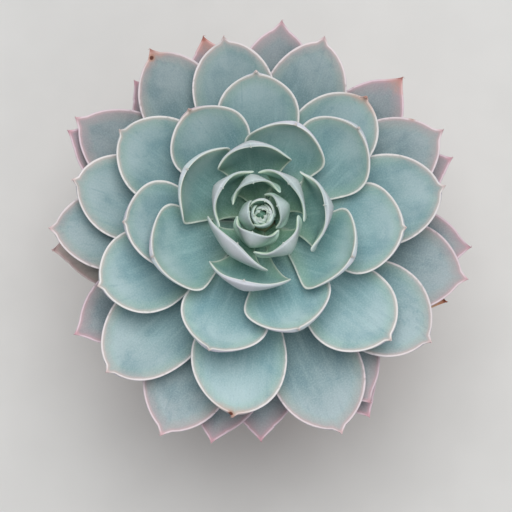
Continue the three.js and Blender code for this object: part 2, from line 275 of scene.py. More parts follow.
def half_breadth(leaf, length, along):
    """Half breadth at distances along the leaf: a narrow seat, a broad round end and a drawn-out point."""
    share = np.clip(along / (length - leaf["point"]), 0, 1)
    early = np.sin((math.pi / 2) * np.clip(share / WIDEST_AT, 0, 1) ** SHOULDER)
    t = np.clip((share - WIDEST_AT) / (1 - WIDEST_AT), 0, 1)
    late = (1 - t ** END_ROUNDNESS) ** leaf["fullness"]
    blade = leaf["breadth"] / 2 * np.where(share < WIDEST_AT, SEAT_SHARE + (1 - SEAT_SHARE) * early, late)
    to_tip = np.clip((length - along) / leaf["point"], 0, POINT_REACH)
    point = POINT_ROOT * leaf["point"] * to_tip ** POINT_FLARE
    blend = POINT_BLEND * leaf["point"] * np.minimum(to_tip, 1)
    return 0.5 * (blade + point + np.sqrt((blade - point) ** 2 + blend ** 2)) \
        - 0.5 * blend * np.exp(-np.abs(blade - point))


def leaf_rows(length):
    """Distances along the leaf of its rows of points, closer together in its end."""
    early = np.linspace(0, END_FROM, ROWS_ALONG, endpoint=False)
    late = END_FROM + (1 - END_FROM) * (1 - (1 - np.linspace(0, 1, ROWS_AT_END)) ** END_CROWDING)
    return np.concatenate((early, late[:-1])) * length


def edge_distance(along, across, rows, half, length):
    """Distance on the flattened blade from each point to its outline, round the end as well as the sides."""
    fine = np.concatenate((np.linspace(0, END_FROM, 60), np.linspace(END_FROM, 1, 160))) * length
    outline = np.interp(fine, np.append(rows, length), np.append(half, 0))
    gap = np.hypot(along[:, None] - fine[None, :], np.abs(across)[:, None] - outline[None, :])
    return gap.min(axis=1)


def section_measures(leaf, length, rows, radius, slope):
    """For each row its share of the blade's length, half breadth, the angle that its sides turn up by, how
    evenly they do, and its thickness at the edge and in the middle."""
    share = np.clip(rows / (length - leaf["point"]), 0, 1)
    half = half_breadth(leaf, length, rows)
    curve = HUG * np.maximum(np.sin(slope), 0) / np.maximum(radius, CLOSEST_HUG)
    curve = curve + leaf["cup"] * (CUP_AT_SEAT + (1 - CUP_AT_SEAT) * share)
    turning = np.minimum(half * curve * leaf["cupping"], MAX_TURN)
    fold = 1 - (1 - leaf["fold"]) * np.minimum(share / KEELED_FROM, 1)
    fullness = np.minimum(SEAT_FULLNESS + FILLING * share, 1) - TIP_THINNING * share ** 3
    near_tip = np.clip((length - rows) / (THIN_END * leaf["point"]), 0, 1) ** THIN_END_POWER
    rim = RIM * (RIM_AT_TIP + (1 - RIM_AT_TIP) * near_tip)
    thick = rim + (leaf["thickness"] - RIM) * fullness * near_tip
    return share, half, turning, fold, rim, thick


def turned_up(half, turning, fold):
    """Distance to the side, rise and lean of the points across a section's upper face."""
    lean = turning * HALF_WAY_OUT ** fold
    widths = np.diff(HALF_WAY_OUT) * half
    middle = (lean[1:] + lean[:-1]) / 2
    side = np.concatenate(([0], np.cumsum(widths * np.cos(middle))))
    rise = np.concatenate(([0], np.cumsum(widths * np.sin(middle))))
    out = np.abs(ACROSS)
    return (np.sign(ACROSS) * np.interp(out, HALF_WAY_OUT, side), np.interp(out, HALF_WAY_OUT, rise),
            np.sign(ACROSS) * turning * out ** fold)


def closed_section(side, rise, lean, depth):
    """Points round a section: its upper face, an edge, its lower face and the other edge."""
    top = np.stack((side, rise), axis=1)
    bottom = np.stack((side + depth * np.sin(lean), rise - depth * np.cos(lean)), axis=1)
    return np.concatenate((top, rounded_edge(top[-1], bottom[-1], lean[-1], 1),
                           bottom[::-1], rounded_edge(bottom[0], top[0], lean[0], -1)))


def leaf_mesh(leaf, seed):
    """Points, faces and attributes of one leaf: rows of closed sections from its seat to its tip."""
    length, line = midrib(leaf)
    rows = leaf_rows(length)
    radius, height, slope = line(rows / length)
    share, half, turning, fold, rim, thick = section_measures(leaf, length, rows, radius, slope)
    draws = np.random.default_rng(seed)
    phases = draws.uniform(0, 2 * math.pi, 4)
    phase = np.where(ACROSS < 0, phases[0], phases[1])
    sway = draws.uniform(-1, 1) * SWAY * leaf["breadth"]
    out = np.abs(ACROSS)
    loops = []
    for i, s in enumerate(rows):
        side, rise, lean = turned_up(half[i], turning[i], fold[i])
        bulge = 1 + UNEVENNESS * np.sin(phase + SIDE_WAVE * share[i]) * share[i] * (1 - share[i] ** 8)
        side = side * bulge + sway * share[i] ** 3
        rise = rise + leaf["wave"] * share[i] * out ** 3 * np.sin(2 * math.pi * s / WAVE_LENGTH + phase)
        loop = closed_section(side, rise, lean, rim[i] + (thick[i] - rim[i]) * np.sqrt(1 - out * out))
        loops.append(np.stack((radius[i] - loop[:, 1] * math.sin(slope[i]), loop[:, 0],
                               height[i] + loop[:, 1] * math.cos(slope[i])), axis=1))
    end_radius, end_height, _ = line(1)
    apex = np.array((float(end_radius), 0, float(end_height)))
    points = np.concatenate((*loops, [loops[0].mean(axis=0)], [apex]))

    fading = np.linspace(1, 0, RIM_STEPS + 2)[1:-1]
    upper = np.concatenate((np.ones(len(ACROSS)), fading, np.zeros(len(ACROSS)), fading[::-1]))
    around = np.concatenate((ACROSS, np.ones(RIM_STEPS), ACROSS[::-1], -np.ones(RIM_STEPS)))
    along = np.append(np.repeat(rows, len(around)), (0, length))
    across = np.append(np.outer(half, around), (0, 0))
    points += swellings(along, across, seed, length)
    turn = math.radians(leaf["azimuth"])
    x, y = points[:, 0].copy(), points[:, 1].copy()
    points[:, 0] = x * math.cos(turn) - y * math.sin(turn)
    points[:, 1] = x * math.sin(turn) + y * math.cos(turn)
    points[:, 2] += ROSETTE_SEAT
    count = len(points)
    attributes = {
        "edge": edge_distance(along, across, rows, half, length),
        "along": along / length,
        "to_tip": (length - along) / leaf["point"],
        "upper": np.append(np.tile(upper, len(rows)), (0.5, 0.5)),
        "age": np.full(count, leaf["age"]),
        # painted light: how far the leaf lies on the side of the rosette that is painted lighter
        "pale": np.full(count, math.cos(math.radians(leaf["azimuth"] - PAINTED_LIGHT_AZIMUTH))),
        "burn": np.full(count, leaf["burn"]),
        "dry": np.full(count, leaf["dry"]),
        "spot": np.tile((length - leaf["spot"][0], leaf["spot"][1], leaf["spot"][2]), (count, 1)),
        "place": np.stack((along, across, np.full(count, 40.0 * seed)), axis=1),
    }
    return points, section_faces(len(rows), len(around)), attributes


def rounded_edge(start, end, lean, way):
    """Points on the half circle from the upper face round to the lower one, or back, at an edge."""
    centre = (start + end) / 2
    half = np.linalg.norm(end - start) / 2
    out = np.array((math.cos(lean), math.sin(lean))) * way
    angles = np.linspace(0, math.pi, RIM_STEPS + 2)[1:-1]
    return np.array([centre + (start - centre) * math.cos(a) + out * half * math.sin(a) for a in angles])


def swellings(along, across, seed, length):
    """Small shifts that make a blade's surface less even, the same on both faces."""
    shift = np.zeros((len(along), 3))
    for i, (s, y) in enumerate(zip(along, across)):
        place = Vector((s / 11, y / 8, seed * 3.7))
        shift[i, 2] = noise.noise(place) * RELIEF * min(s / length * 3, 1)
    return shift


def section_faces(rows, around):
    """Faces between closed sections, a fan at the seat (the last point but one) and one at the tip."""
    faces = []
    for i in range(rows - 1):
        for j in range(around):
            k = (j + 1) % around
            faces.append((i * around + j, i * around + k, (i + 1) * around + k, (i + 1) * around + j))
    seat, apex = rows * around, rows * around + 1
    last = (rows - 1) * around
    for j in range(around):
        k = (j + 1) % around
        faces.append((seat, k, j))
        faces.append((last + j, last + k, apex))
    return faces


def make_leaf(n, skin):
    """Leaf n as a fine piece in the place of its solid."""
    points, faces, attributes = leaf_mesh(leaf_measures(n), n + 1)
    piece = mesh_object(f"leaf_{n + 1:02d}_fine", points, facing_out(points, faces), attributes)
    piece.data.materials.append(skin)
    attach(piece, "root")
    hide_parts(f"leaf_{n + 1:02d}")
    return piece


# Shader graphs
def srgb(red, green, blue):
    """A colour as a shader wants it, from its 0 to 255 values on a screen."""
    def linear(value):
        value /= 255
        return value / 12.92 if value <= 0.04045 else ((value + 0.055) / 1.055) ** 2.4
    return (linear(red), linear(green), linear(blue), 1)


class Finish:
    """A material's node graph, with a method for each kind of node that the finishes use."""

    def __init__(self, name, **constants):
        self.material = bpy.data.materials.new(name)
        self.material.use_nodes = True
        self.tree = self.material.node_tree
        self.surface = self.tree.nodes["Principled BSDF"]
        for socket, value in constants.items():
            self.surface.inputs[socket.replace("_", " ")].default_value = value

    def feed(self, socket, value):
        if isinstance(value, bpy.types.NodeSocket):
            self.tree.links.new(value, socket)
        else:
            socket.default_value = value

    def add(self, kind, inputs, **settings):
        node = self.tree.nodes.new(kind)
        for key, value in settings.items():
            setattr(node, key, value)
        for key, value in inputs.items():
            self.feed(node.inputs[key], value)
        return node

    def attribute(self, name, output="Fac"):
        return self.add("ShaderNodeAttribute", {}, attribute_name=name).outputs[output]

    def position(self):
        return self.add("ShaderNodeTexCoord", {}).outputs["Object"]

    def stretched(self, vector, scale):
        return self.add("ShaderNodeMapping", {"Vector": vector, "Scale": scale}).outputs["Vector"]

    def noise(self, vector, scale, detail=3.0, distortion=0.0):
        return self.add("ShaderNodeTexNoise", {
            "Vector": vector, "Scale": scale, "Detail": detail, "Distortion": distortion}).outputs["Fac"]

    def cells(self, vector, scale):
        return self.add("ShaderNodeTexVoronoi", {"Vector": vector, "Scale": scale}).outputs["Distance"]

    def math(self, operation, a, b=0.0):
        return self.add("ShaderNodeMath", {0: a, 1: b}, operation=operation).outputs[0]

    def times(self, a, b):
        return self.math("MULTIPLY", a, b)

    def plus(self, a, b):
        return self.math("ADD", a, b)

    def ramp(self, value, low, high, to_low=0.0, to_high=1.0):
        """to_low at low, to_high at high, smooth in between and level beyond."""
        return self.add("ShaderNodeMapRange", {
            "Value": value, "From Min": low, "From Max": high, "To Min": to_low, "To Max": to_high,
        }, interpolation_type="SMOOTHSTEP").outputs["Result"]

    def mix(self, share, a, b, blend="MIX"):
        node = self.add("ShaderNodeMix", {}, data_type="RGBA", blend_type=blend)
        self.feed(node.inputs["Factor"], share)
        self.feed([s for s in node.inputs if s.name == "A" and s.type == "RGBA"][0], a)
        self.feed([s for s in node.inputs if s.name == "B" and s.type == "RGBA"][0], b)
        return [s for s in node.outputs if s.type == "RGBA"][0]

    def lit(self, factor, colour):
        """A colour made lighter or darker by a factor."""
        return self.add("ShaderNodeHueSaturation", {"Value": factor, "Color": colour}).outputs["Color"]

    def colour(self, value):
        self.feed(self.surface.inputs["Base Color"], value)

    def roughness(self, value):
        self.feed(self.surface.inputs["Roughness"], value)

    def bump(self, height, depth, strength=1.0):
        """Relief in the surface: height runs from 0 to 1 over depth in millimetres."""
        node = self.add("ShaderNodeBump", {"Height": height, "Distance": depth * MM, "Strength": strength})
        self.feed(self.surface.inputs["Normal"], node.outputs["Normal"])


# Colours of a leaf's skin on a screen, for a leaf in the heart, half way out and outermost
SKIN = {
    # seat: painted shade, darker where the leaves overlap at their seats; end: painted light, paler where the
    # end faces up into the light
    "seat": ((82, 122, 102), (84, 122, 120), (82, 104, 102)),
    "blade": ((118, 160, 149), (112, 149, 153), (106, 125, 129)),
    "end": ((170, 200, 188), (172, 194, 196), (152, 158, 162)),
    "near edge": ((138, 178, 148), (146, 178, 162), (136, 150, 138)),
    "thin bloom": ((98, 144, 132), (103, 143, 153), (98, 119, 127)),
    "thick bloom": ((152, 188, 174), (150, 181, 184), (138, 151, 154)),
    "blush": ((200, 200, 182), (204, 180, 182), (188, 154, 166)),
    "line": ((180, 194, 164), (212, 192, 182), (202, 160, 168)),
    "rim": ((212, 228, 208), (234, 230, 226), (220, 198, 206)),
    "under": ((172, 202, 184), (176, 192, 200), (172, 176, 190)),
    "under end": ((198, 204, 206), (200, 198, 210), (196, 172, 192)),
    "point": ((198, 212, 200), (224, 206, 200), (206, 158, 168)),
}


def by_age(finish, part):
    """The colour of a part of the skin, which changes with the leaf's age."""
    young, grown, old = (srgb(*colour) for colour in SKIN[part])
    age = finish.attribute("age")
    inner = finish.mix(finish.ramp(age, 0.04, 0.34), young, grown)
    return finish.mix(finish.ramp(age, 0.40, 0.88), inner, old)


def leaf_skin(name):
    """Waxy bloom over blue-green flesh, with a pale margin, a blushing end and a paler underside."""
    finish = Finish(name, Roughness=0.6, Specular_IOR_Level=0.28, Subsurface_Weight=0.10,
                    Subsurface_Radius=(1.0, 1.0, 0.8), Subsurface_Scale=0.0012)
    place, to_tip = finish.attribute("place", "Vector"), finish.attribute("to_tip")
    cloud = finish.noise(place, 0.07, 4.0, 0.3)
    streaks = finish.noise(finish.stretched(place, (0.045, 0.42, 1)), 1.0, 4.0, 0.3)
    grain = finish.noise(place, 1.5, 3.0)
    wander = finish.noise(place, 0.3, 2.0)
    skin = bloomed(finish, place, cloud, streaks, grain)
    # painted light: lighter on one side of the rosette, darker on the other
    skin = finish.lit(finish.plus(1.0, finish.times(finish.attribute("pale"), PAINTED_SIDE_LIGHT)), skin)
    skin = margined(finish, skin, wander)
    skin = finish.mix(finish.attribute("upper"), underside(finish, cloud, grain), skin)
    skin = finish.mix(finish.ramp(to_tip, 1.0, 0.35, 0.0, 0.85), skin, by_age(finish, "point"))
    finish.colour(marked(finish, skin, place, to_tip, wander))
    fine_relief = finish.plus(finish.times(grain, 0.3), finish.times(streaks, 0.3))
    finish.bump(finish.plus(finish.times(cloud, 0.5), fine_relief), 0.12, 0.5)
    return finish.material


def bloomed(finish, place, cloud, streaks, grain):
    """The upper face's colour, darkest at the seat with painted shade and palest at the end with painted
    light, under a bloom that lies thick and thin, in clouds and in streaks along the leaf."""
    edge, along = finish.attribute("edge"), finish.attribute("along")
    far = finish.plus(along, finish.times(finish.math("SUBTRACT", cloud, 0.5), 0.35))
    # painted shade: darker towards the seat
    skin = finish.mix(finish.ramp(far, 0.12, 0.6), by_age(finish, "seat"), by_age(finish, "blade"))
    # painted light: paler towards the end
    skin = finish.mix(finish.ramp(far, 0.54, 0.98), skin, by_age(finish, "end"))
    skin = finish.mix(finish.times(finish.ramp(edge, 7.0, 1.0), 0.55), skin, by_age(finish, "near edge"))
    thin, thick = by_age(finish, "thin bloom"), by_age(finish, "thick bloom")
    skin = finish.mix(finish.ramp(cloud, 0.52, 0.34, 0.0, 0.30), skin, thin)
    skin = finish.mix(finish.ramp(streaks, 0.48, 0.72, 0.0, 0.34), skin, thick)
    skin = finish.mix(finish.ramp(streaks, 0.46, 0.26, 0.0, 0.22), skin, thin)
    rubbed = finish.ramp(finish.noise(place, 0.16, 5.0, 1.2), 0.60, 0.70, 0.0, 0.25)
    skin = finish.mix(rubbed, skin, thin)
    skin = finish.mix(finish.ramp(grain, 0.42, 0.7, 0.0, 0.16), skin, srgb(196, 214, 214))
    return finish.mix(finish.ramp(grain, 0.46, 0.26, 0.0, 0.12), skin, srgb(70, 108, 112))


def margined(finish, skin, wander):
    """A skin with a blush that spreads in from the edges of the end, wider on older leaves, and with a faint
    warm line just inside a pale rim."""
    edge, along, age = (finish.attribute(name) for name in ("edge", "along", "age"))
    spread = finish.plus(edge, finish.times(wander, 3.0))
    width = finish.ramp(age, 0.1, 1.0, 3.0, 8.5)
    far_in = finish.math("MINIMUM", finish.math("DIVIDE", spread, width), 1.0)
    near_edge = finish.math("SUBTRACT", 1.0, far_in)
    blush = finish.times(near_edge, finish.ramp(along, 0.5, 0.98))
    blush = finish.times(blush, finish.ramp(age, 0.05, 0.9, 0.18, 0.85))
    skin = finish.mix(blush, skin, by_age(finish, "blush"))
    line = finish.plus(edge, finish.times(finish.math("SUBTRACT", wander, 0.5), 0.5))
    warm = finish.times(finish.ramp(line, 1.9, 0.7), finish.ramp(along, 0.4, 0.9, 0.10, 0.42))
    skin = finish.mix(warm, skin, by_age(finish, "line"))
    rim = finish.times(finish.ramp(line, 0.75, 0.3), finish.ramp(along, 0.2, 0.6, 0.35, 0.95))
    return finish.mix(rim, skin, by_age(finish, "rim"))


def underside(finish, cloud, grain):
    """The lower face's colour, under a thick and even bloom."""
    end = finish.ramp(finish.attribute("along"), 0.55, 0.95)
    skin = finish.mix(end, by_age(finish, "under"), by_age(finish, "under end"))
    skin = finish.mix(finish.ramp(cloud, 0.38, 0.66, 0.0, 0.4), skin, srgb(146, 184, 174))
    return finish.mix(finish.ramp(grain, 0.42, 0.7, 0.0, 0.2), skin, srgb(214, 218, 224))


def marked(finish, skin, place, to_tip, wander):
    """A leaf's colour with the marks of its own: dried up, burnt at the end, a corky spot."""
    parched = finish.mix(finish.ramp(wander, 0.35, 0.65), srgb(226, 212, 190), srgb(202, 182, 158))
    skin = finish.mix(finish.attribute("dry"), skin, parched)
    burn = finish.attribute("burn")
    reach = finish.plus(to_tip, finish.times(finish.math("SUBTRACT", wander, 0.5), 1.6))
    scorched = finish.times(finish.times(finish.ramp(reach, 2.6, 0.6), burn), 0.8)
    skin = finish.mix(scorched, skin, srgb(212, 142, 106))
    skin = finish.mix(finish.times(finish.ramp(reach, 1.0, 0.2), burn), skin, srgb(158, 84, 64))
    spot, here = (finish.add("ShaderNodeSeparateXYZ", {"Vector": vector}).outputs
                  for vector in (finish.attribute("spot", "Vector"), place))
    x, y = (finish.math("SUBTRACT", here[axis], spot[axis]) for axis in ("X", "Y"))
    away = finish.math("SQRT", finish.plus(finish.times(x, x), finish.times(y, y)))
    away = finish.plus(away, finish.times(finish.math("SUBTRACT", wander, 0.5), 0.8))
    size = spot["Z"]
    away = finish.math("DIVIDE", away, finish.plus(size, 0.001))
    has_spot = finish.math("GREATER_THAN", size, 0.01)
    halo = finish.times(finish.times(finish.ramp(away, 2.0, 1.0), 0.55), has_spot)
    skin = finish.mix(halo, skin, srgb(176, 128, 104))
    return finish.mix(finish.times(finish.ramp(away, 1.1, 0.6), has_spot), skin, srgb(98, 56, 44))


# Turned pieces
def turned(name, profile, sides, wobble=0.0):
    """A closed piece turned round the axis from an outline of (radius, height) that closes on itself or
    starts and ends on the axis, with an uneven surface if wobble says so."""
    points, faces = [], []
    for r, z in profile:
        for j in range(sides):
            angle = 2 * math.pi * j / sides
            x, y = math.cos(angle), math.sin(angle)
            uneven = wobble * noise.noise(Vector((x * 1.3, y * 1.3, z / 26)))
            radius = max(r + uneven * min(r / 10, 1), 0)
            points.append((radius * x, radius * y, z))
    closed = np.allclose(profile[0], profile[-1])
    count = len(profile) - 1 if closed else len(profile)
    points = points[:count * sides]
    for i in range(count if closed else count - 1):
        k = (i + 1) % count
        for j in range(sides):
            m = (j + 1) % sides
            faces.append((i * sides + j, i * sides + m, k * sides + m, k * sides + j))
    if not closed:
        faces.append(tuple(range(sides))[::-1])
        faces.append(tuple(range((count - 1) * sides, count * sides)))
    points = np.array(points)
    return mesh_object(name, points, facing_out(points, faces))


def rounded(profile, radii, steps=6):
    """An outline with its corners rounded: one radius for each point, 0 for a corner that stays."""
    out = []
    count = len(profile)
    for i, (point, radius) in enumerate(zip(profile, radii)):
        here = Vector(point)
        if radius == 0 or i in (0, count - 1):
            out.append(tuple(here))
            continue
        before, after = Vector(profile[i - 1]) - here, Vector(profile[i + 1]) - here
        reach = min(radius, before.length * 0.48, after.length * 0.48)
        start, end = here + before.normalized() * reach, here + after.normalized() * reach
        for k in range(steps + 1):
            t = k / steps
            out.append(tuple(start * (1 - t) ** 2 + here * (2 * t * (1 - t)) + end * t ** 2))
    return out


def refined(profile, step):
    """An outline with long straight stretches cut into steps, so that its surface can be uneven."""
    out = [profile[0]]
    for (r0, z0), (r1, z1) in zip(profile, profile[1:]):
        count = max(1, round(math.hypot(r1 - r0, z1 - z0) / step))
        out += [(r0 + (r1 - r0) * k / count, z0 + (z1 - z0) * k / count) for k in range(1, count + 1)]
    return out


# The pot
POT_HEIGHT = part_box("pot")[1].z / MM
POT_RIM_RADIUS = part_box("pot")[1].x / MM
POT_FOOT_RADIUS = 39
POT_WALL = 5.5
RIM_BAND = 21
BAND_STEP = 4.5
DRAIN_RADIUS = 6.5
BAND_FOOT = POT_HEIGHT - RIM_BAND
WALL_AT_BAND = POT_RIM_RADIUS - BAND_STEP
RIM_INSIDE = POT_RIM_RADIUS - 6.5
POT_FLOOR = POT_WALL + 1.5
POT_SIDES = 144
POT_UNEVENNESS = 0.22
OUTLINE_STEP = 2.5              # longest straight stretch of the pot's fine outline


def make_pot():
    """A pressed clay pot: tapered wall, thicker band at the rim, flat foot with a drain hole."""
    profile = [
        (DRAIN_RADIUS, 0), (POT_FOOT_RADIUS - 1.5, 0), (POT_FOOT_RADIUS, 1.5), (WALL_AT_BAND, BAND_FOOT),
        (POT_RIM_RADIUS - 1, BAND_FOOT + 0.5), (POT_RIM_RADIUS - 0.6, BAND_FOOT + 2.5),
        (POT_RIM_RADIUS - 0.1, POT_HEIGHT - 2), (POT_RIM_RADIUS - 2, POT_HEIGHT - 0.1),
        (RIM_INSIDE + 1.5, POT_HEIGHT - 0.1), (RIM_INSIDE, POT_HEIGHT - 2),
        (WALL_AT_BAND - POT_WALL, BAND_FOOT - 3), (POT_FOOT_RADIUS - POT_WALL, POT_FLOOR + 2),
        (POT_FOOT_RADIUS - POT_WALL - 2, POT_FLOOR), (DRAIN_RADIUS, POT_FLOOR), (DRAIN_RADIUS, 0),
    ]
    radii = [0, 0.8, 0.8, 1.6, 1.2, 1.5, 1.8, 1.8, 1.6, 1.6, 4, 2, 2, 1, 0]
    outline = refined(rounded(profile, radii), OUTLINE_STEP)
    piece = turned("pot_fine", outline, POT_SIDES, POT_UNEVENNESS)
    piece.data.materials.append(clay_finish())
    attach(piece, "root")
    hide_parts("pot")


def clay_finish():
    """Fired clay with pale salts that have come through the wall, darker damp below them, and grit."""
    finish = Finish("clay", Roughness=0.88, Specular_IOR_Level=0.25)
    place = finish.position()
    height = finish.add("ShaderNodeSeparateXYZ", {"Vector": place}).outputs["Z"]
    broad = finish.noise(place, 22, 4.0, 0.6)
    fine = finish.noise(place, 160, 3.0)
    turning = finish.noise(finish.stretched(place, (4, 4, 320)), 1.0, 3.0)
    colour = finish.mix(finish.ramp(broad, 0.35, 0.68), srgb(168, 98, 66), srgb(192, 122, 84))
    colour = finish.mix(finish.ramp(fine, 0.4, 0.75, 0.0, 0.35), colour, srgb(206, 146, 108))
    colour = finish.mix(finish.ramp(turning, 0.45, 0.7, 0.0, 0.22), colour, srgb(146, 84, 58))
    specks = finish.ramp(finish.cells(place, 420), 0.20, 0.08, 0.0, 0.5)
    colour = finish.mix(specks, colour, srgb(112, 66, 48))
    salt_height = finish.times(finish.ramp(height, 0.018, 0.05), finish.ramp(height, 0.090, 0.060, 0.35, 1.0))
    salts = finish.times(finish.ramp(finish.noise(place, 44, 7.0, 0.5), 0.50, 0.70), salt_height)
    colour = finish.mix(finish.times(salts, 0.55), colour, srgb(226, 210, 194))
    damp = finish.times(finish.ramp(height, 0.030, 0.004), finish.ramp(broad, 0.3, 0.6))
    colour = finish.mix(finish.times(damp, 0.45), colour, srgb(128, 78, 58))
    finish.colour(colour)
    finish.roughness(finish.ramp(salts, 0.0, 1.0, 0.84, 0.97))
    relief = finish.plus(finish.times(turning, 0.35), finish.times(salts, 0.3))
    finish.bump(finish.plus(finish.times(fine, 0.5), relief), 0.35, 0.6)
    return finish.material


# The soil and its grit
SOIL_TOP = POT_HEIGHT - 9
SOIL_MOUND = 2.2
SOIL_SIDES = 200
SOIL_STEP = 0.9                 # distance between the rings of points across its top
CRUMB_SIZE = 2.6
CRUMB_HEIGHT = 0.9
STEM_IN_SOIL = 42
SOIL_SHOULDER = WALL_AT_BAND - POT_WALL - FIT
SOIL_EDGE = SOIL_SHOULDER + 0.55 * (RIM_INSIDE - FIT - SOIL_SHOULDER)
SOIL_SURFACE = [
    (STEM_RADIUS + FIT, SOIL_TOP + SOIL_MOUND - 0.8), (18, SOIL_TOP + SOIL_MOUND),
    (30, SOIL_TOP + SOIL_MOUND - 0.6), (SOIL_EDGE - 5, SOIL_TOP - 0.2), (SOIL_EDGE, SOIL_TOP - 1),
]


def soil_height(radius):
    """Height of the soil's even surface at a distance from the axis."""
    return float(np.interp(radius, *zip(*SOIL_SURFACE)))


def make_soil():
    """The soil: its sides follow the pot, and its top is crumbly."""
    foot = POT_FOOT_RADIUS - POT_WALL - FIT
    floor = POT_FLOOR + FIT
    hole = STEM_RADIUS + FIT
    top = refined(SOIL_SURFACE[::-1], SOIL_STEP)
    profile = [(0.2, floor), (foot - 2.2, floor), (foot - 0.1, floor + 2.1), (SOIL_SHOULDER, BAND_FOOT - 3)]
    profile += top + [(hole, SOIL_TOP - STEM_IN_SOIL), (0.2, SOIL_TOP - STEM_IN_SOIL)]
    piece = turned("soil_bed", profile, SOIL_SIDES)
    for vertex in piece.data.vertices:
        x, y, z = vertex.co / MM
        radius = math.hypot(x, y)
        if z > SOIL_TOP - 2.5 and radius < SOIL_EDGE - 0.2:
            crumbs = noise.fractal(Vector((x / CRUMB_SIZE, y / CRUMB_SIZE, 3)), 1.0, 2.0, 4)
            vertex.co.z += (CRUMB_HEIGHT * crumbs - 0.3) * MM
    piece.data.materials.append(soil_finish())
    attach(piece, "root")
    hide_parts("soil")


def ball(subdivisions):
    """The points and faces of a ball of radius 1 made of near-equal triangles."""
    mesh = bmesh.new()
    bmesh.ops.create_icosphere(mesh, subdivisions=subdivisions, radius=1)
    points = np.array([vertex.co for vertex in mesh.verts])
    faces = [tuple(vertex.index for vertex in face.verts) for face in mesh.faces]
    mesh.free()
    return points, faces


# Kinds of grit: share of the pieces, least and greatest size, flatness, tone at which its colour is read
GRIT_KINDS = [
    ("pumice", 0.34, 1.5, 4.2, 0.75, 0.1), ("lava", 0.22, 1.4, 3.6, 0.8, 0.35),
    ("gravel", 0.24, 1.2, 3.2, 0.7, 0.6), ("bark", 0.20, 2.2, 5.2, 0.35, 0.85),
]
GRIT_COUNT = 900
GRIT_TRIES = 9000
GRIT_SPACING = 0.42             # least distance between two pieces, as a share of their sizes added up
GRIT_FINE_FROM = 2.2            # pieces larger than this have a finer ball
GRIT_SUNK = 0.15                # how deep a piece sits, as a share of its size


def grit_places():
    """Where the pieces of grit lie: (kind, x, y, size), the larger ones first, none buried in another."""
    wanted = []
    for kind in GRIT_KINDS:
        for _ in range(round(GRIT_COUNT * kind[1])):
            wanted.append((kind, kind[2] + (kind[3] - kind[2]) * rng.random() ** 2.2))
    wanted.sort(key=lambda item: -item[1])
    placed = []
    tries = 0
    for kind, size in wanted:
        while tries < GRIT_TRIES:
            tries += 1
            radius = math.sqrt(rng.uniform((STEM_RADIUS + 1.5) ** 2, (SOIL_EDGE - 0.6 - size / 2) ** 2))
            angle = rng.uniform(0, 2 * math.pi)
            x, y = radius * math.cos(angle), radius * math.sin(angle)
            if all(math.hypot(x - px, y - py) > GRIT_SPACING * (size + ps) for _, px, py, ps in placed):
                placed.append((kind, x, y, size))
                break
    return placed


def stone_shape(n, kind, size, ball_points):
    """The points of grit number n about its own middle: a rough ball, flattened and tilted."""
    stretch = np.array((rng.uniform(0.8, 1.15), rng.uniform(0.65, 0.95), kind[4] * rng.uniform(0.8, 1.1)))
    own = Vector((n * 7.1, 0, 0))
    rough = np.array([1 + 0.28 * noise.noise(Vector(p) * 1.7 + own) for p in ball_points])
    tilt = 0.5 if kind[0] != "bark" else 0.25
    about_z = Matrix.Rotation(rng.uniform(0, 2 * math.pi), 3, "Z")
    about_x = Matrix.Rotation(rng.uniform(-tilt, tilt), 3, "X")
    return (ball_points * rough[:, None] * stretch * size / 2) @ np.array(about_z @ about_x).T


def make_grit():
    """Loose stones and bits of bark lying on the soil, as one piece."""
    coarse, fine = ball(1), ball(2)
    points, faces, tones = [], [], []
    for n, (kind, x, y, size) in enumerate(grit_places()):
        ball_points, ball_faces = fine if size > GRIT_FINE_FROM else coarse
        stone = stone_shape(n, kind, size, ball_points)
        lift = -stone[:, 2].min() - GRIT_SUNK * size
        stone = stone + np.array((x, y, soil_height(math.hypot(x, y)) + lift))
        start = len(points)
        points.extend(stone.tolist())
        faces += [tuple(start + k for k in face) for face in ball_faces]
        tones += [kind[5] + rng.uniform(-0.09, 0.09)] * len(stone)
    piece = mesh_object("soil_grit", points, faces, {"tone": tones})
    piece.data.materials.append(grit_finish())
    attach(piece, "root")


def soil_finish():
    """Dark, crumbly compost with lighter patches and pale dust in it."""
    finish = Finish("soil", Roughness=0.97, Specular_IOR_Level=0.15)
    place = finish.position()
    lumps = finish.noise(place, 260, 6.0, 0.5)
    patches = finish.noise(place, 60, 3.0)
    colour = finish.mix(finish.ramp(lumps, 0.35, 0.65), srgb(44, 33, 27), srgb(92, 72, 56))
    colour = finish.mix(finish.ramp(patches, 0.5, 0.75, 0.0, 0.5), colour, srgb(118, 98, 80))
    dust = finish.ramp(finish.cells(place, 700), 0.16, 0.05, 0.0, 0.6)
    colour = finish.mix(dust, colour, srgb(170, 152, 128))
    finish.colour(colour)
    finish.bump(lumps, 0.9, 0.9)
    return finish.material


def grit_finish():
    """Pumice, lava, gravel and bark, told apart by the tone of each stone."""
    finish = Finish("grit", Roughness=0.9, Specular_IOR_Level=0.25)
    place = finish.position()
    tone = finish.attribute("tone")
    fine = finish.noise(place, 900, 4.0)
    pores = finish.cells(place, 1400)
    colour = finish.mix(finish.ramp(tone, 0.22, 0.23), srgb(214, 204, 186), srgb(112, 62, 50))
    colour = finish.mix(finish.ramp(tone, 0.47, 0.48), colour, srgb(146, 142, 136))
    colour = finish.mix(finish.ramp(tone, 0.72, 0.73), colour, srgb(102, 70, 46))
    shade = finish.ramp(finish.math("SINE", finish.times(tone, 190.0)), -1.0, 1.0, 0.0, 0.5)
    colour = finish.mix(shade, colour, srgb(84, 74, 66), "SOFT_LIGHT")
    colour = finish.mix(finish.ramp(fine, 0.35, 0.7, 0.0, 0.45), colour, srgb(70, 60, 52), "MULTIPLY")
    finish.colour(colour)
    finish.bump(finish.plus(finish.times(fine, 0.6), finish.times(pores, 0.5)), 0.3, 0.8)
    return finish.material


